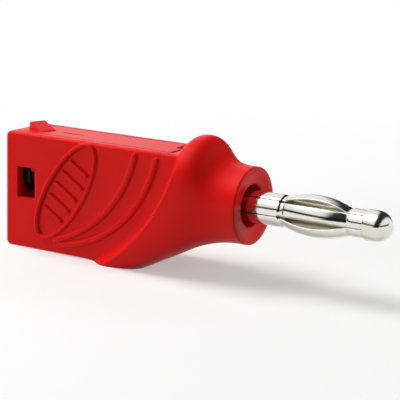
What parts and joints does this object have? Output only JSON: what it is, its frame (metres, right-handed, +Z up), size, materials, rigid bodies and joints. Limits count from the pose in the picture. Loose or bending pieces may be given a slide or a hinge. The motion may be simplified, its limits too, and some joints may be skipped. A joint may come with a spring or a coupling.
{
  "type": "stackable banana plug",
  "caption": "Stackable banana plug with a flat flared grip, a ribbed side, a hinged screw cover, a rear stacking socket and a sprung leaf pin.",
  "frame": {"origin": "middle of the collar's front face, on the axis of the plug pin", "axes": "+X along the pin towards its tip, +Y across the flat housing, +Z up, with the flat base below the pin at Z -9.5 mm"},
  "size_m": [0.0537, 0.0116, 0.0174],
  "materials": {
    "red_moulding": "satin",
    "red_cover": "satin",
    "plated_brass": "satin",
    "nickel": "polished",
    "spring_metal": "polished",
    "plated_steel": "satin"
  },
  "bodies": {
    "housing": {"housing": "red_moulding", "contact_body": "plated_brass", "core_pin": "nickel", "spring_leaf_1": "spring_metal", "spring_leaf_2": "spring_metal", "spring_leaf_3": "spring_metal", "spring_leaf_4": "spring_metal", "spring_leaf_5": "spring_metal", "spring_leaf_6": "spring_metal"},
    "cover": {"top_cover": "red_cover"},
    "pad": {"clamp_pad": "plated_steel"},
    "screw": {"clamp_screw": "plated_steel"}
  },
  "joints": [
    {"name": "cover_hinge", "type": "hinge", "parent": "housing", "child": "cover", "pos_m": [-0.0117, 0, 0.00485], "axis": [0, 1, 0], "range_deg": [0, 95]},
    {"name": "pad_slide", "type": "slide", "parent": "housing", "child": "pad", "axis": [0, 0, -1], "range_m": [0, 0.0015]},
    {"name": "screw_turn", "type": "hinge", "parent": "pad", "child": "screw", "pos_m": [-0.0141, 0, 0], "axis": [0, 0, -1], "range_deg": [0, 1080]}
  ],
  "couplings": [
    {"joint": "screw_turn", "follows": "pad_slide", "rad_per_m": 12566}
  ]
}
